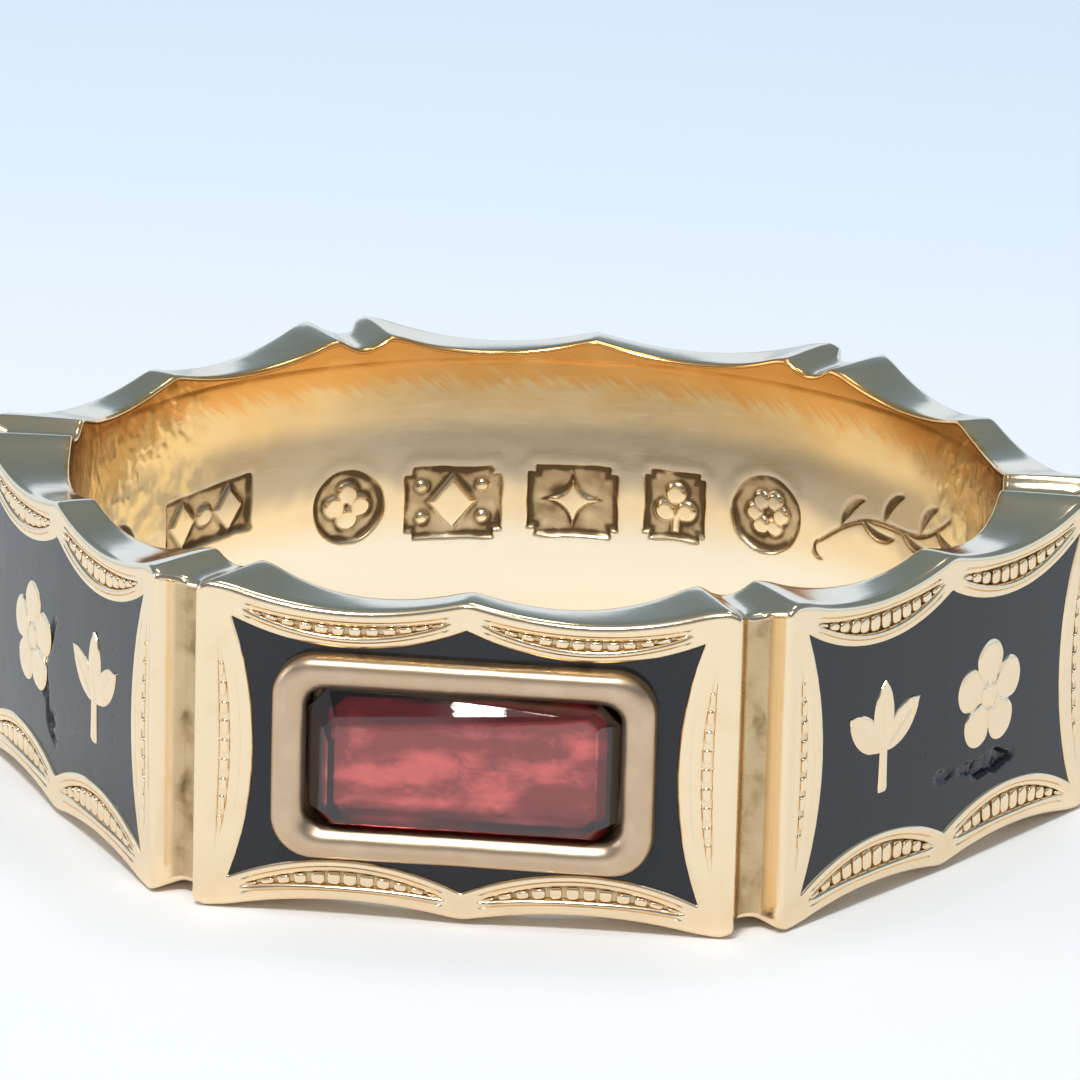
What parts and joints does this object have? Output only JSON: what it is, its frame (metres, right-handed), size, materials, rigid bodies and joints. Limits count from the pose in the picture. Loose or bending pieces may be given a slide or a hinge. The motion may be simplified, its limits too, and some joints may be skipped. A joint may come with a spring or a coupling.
{
  "type": "mourning ring",
  "caption": "Flat-sided gold mourning ring with scalloped rims, black enamel fields with flower and sprig ornaments, and a rectangular garnet in a bezel.",
  "frame": {"origin": "the middle of the finger bore, on its axis at half the band's height", "axes": "+Z along the bore's axis, up as the ring lies on its side; -Y towards the panel with the stone; +X to the right of the stone"},
  "size_m": [0.0208, 0.0192, 0.006],
  "materials": {
    "gold": "polished 18 carat yellow gold, softly worn",
    "black_enamel": "glossy black champleve enamel",
    "garnet": "polished red garnet, foiled behind"
  },
  "bodies": {
    "root": {"gold_band": "gold", "enamel_stone_panel": "black_enamel", "enamel_panel_1": "black_enamel", "enamel_panel_2": "black_enamel", "enamel_panel_3": "black_enamel", "enamel_panel_4": "black_enamel", "enamel_panel_5": "black_enamel", "garnet": "garnet"}
  },
  "joints": []
}
